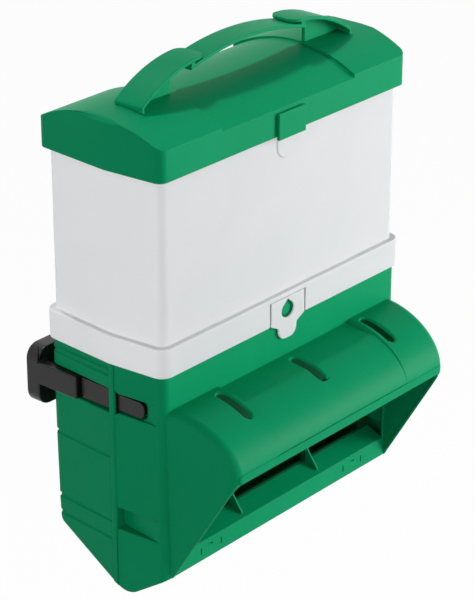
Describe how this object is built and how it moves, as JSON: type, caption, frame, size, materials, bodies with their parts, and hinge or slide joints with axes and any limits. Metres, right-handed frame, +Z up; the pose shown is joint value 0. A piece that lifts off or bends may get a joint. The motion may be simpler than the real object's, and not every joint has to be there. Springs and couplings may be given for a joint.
{
  "type": "hanging hopper feeder",
  "caption": "Wall-hung poultry feeder: hopper with lift-off lid and carrying handle over a V-floored base with hooded trough, on a snap-in bracket.",
  "frame": {"origin": "centre of the four wall screws, in the plane where the bracket's plate meets the wall", "axes": "+Z up, +Y into the wall, so the feeding mouth faces -Y; +X along the lid"},
  "size_m": [0.31, 0.2092, 0.4385],
  "materials": {
    "green_plastic": "moulded polypropylene, satin",
    "white_plastic": "milky moulded polypropylene, satin",
    "black_plastic": "moulded plastic, semi-gloss"
  },
  "bodies": {
    "bracket": {"wall_bracket": "black_plastic"},
    "clip_left": {"bracket_clip_left": "black_plastic"},
    "clip_right": {"bracket_clip_right": "black_plastic"},
    "base": {"base_rear_shell": "green_plastic", "base_front_shell": "green_plastic", "hood": "green_plastic", "feed_baffle": "green_plastic", "feed_tray": "green_plastic", "feed_divider_left": "green_plastic", "feed_divider_right": "green_plastic"},
    "hopper_body": {"hopper": "white_plastic"},
    "tongue_front": {"hopper_tongue_front": "white_plastic"},
    "tongue_rear": {"hopper_tongue_rear": "white_plastic"},
    "lid": {"lid_shell": "green_plastic", "handle_strap_left": "green_plastic", "handle_strap_right": "green_plastic", "handle_grip": "green_plastic"},
    "latch_front": {"lid_latch_front": "green_plastic"},
    "latch_rear": {"lid_latch_rear": "green_plastic"}
  },
  "joints": [
    {"name": "clip_left_bend", "type": "hinge", "parent": "bracket", "child": "clip_left", "pos_m": [-0.147, -0.0585, 0], "axis": [0, 0, 1], "range_deg": [0, 4], "stiffness_Nm_per_rad": 1},
    {"name": "clip_right_bend", "type": "hinge", "parent": "bracket", "child": "clip_right", "pos_m": [0.147, -0.0585, 0], "axis": [0, 0, -1], "range_deg": [0, 4], "stiffness_Nm_per_rad": 1},
    {"name": "base_slide", "type": "slide", "parent": "bracket", "child": "base", "axis": [0, -1, 0], "range_m": [0, 0.115]},
    {"name": "hopper_lift", "type": "slide", "parent": "base", "child": "hopper_body", "axis": [0, 0, 1], "range_m": [0, 0.06]},
    {"name": "tongue_front_bend", "type": "hinge", "parent": "hopper_body", "child": "tongue_front", "pos_m": [0, -0.1479, 0.055], "axis": [-1, 0, 0], "range_deg": [0, 5.5], "stiffness_Nm_per_rad": 1},
    {"name": "tongue_rear_bend", "type": "hinge", "parent": "hopper_body", "child": "tongue_rear", "pos_m": [0, -0.0193, 0.055], "axis": [1, 0, 0], "range_deg": [0, 5.5], "stiffness_Nm_per_rad": 1},
    {"name": "lid_lift", "type": "slide", "parent": "hopper_body", "child": "lid", "axis": [0, 0, 1], "range_m": [0, 0.06]},
    {"name": "latch_front_bend", "type": "hinge", "parent": "lid", "child": "latch_front", "pos_m": [0, -0.1511, 0.2165], "axis": [-1, 0, 0], "range_deg": [0, 8], "stiffness_Nm_per_rad": 1},
    {"name": "latch_rear_bend", "type": "hinge", "parent": "lid", "child": "latch_rear", "pos_m": [0, -0.0161, 0.2165], "axis": [1, 0, 0], "range_deg": [0, 8], "stiffness_Nm_per_rad": 1}
  ]
}
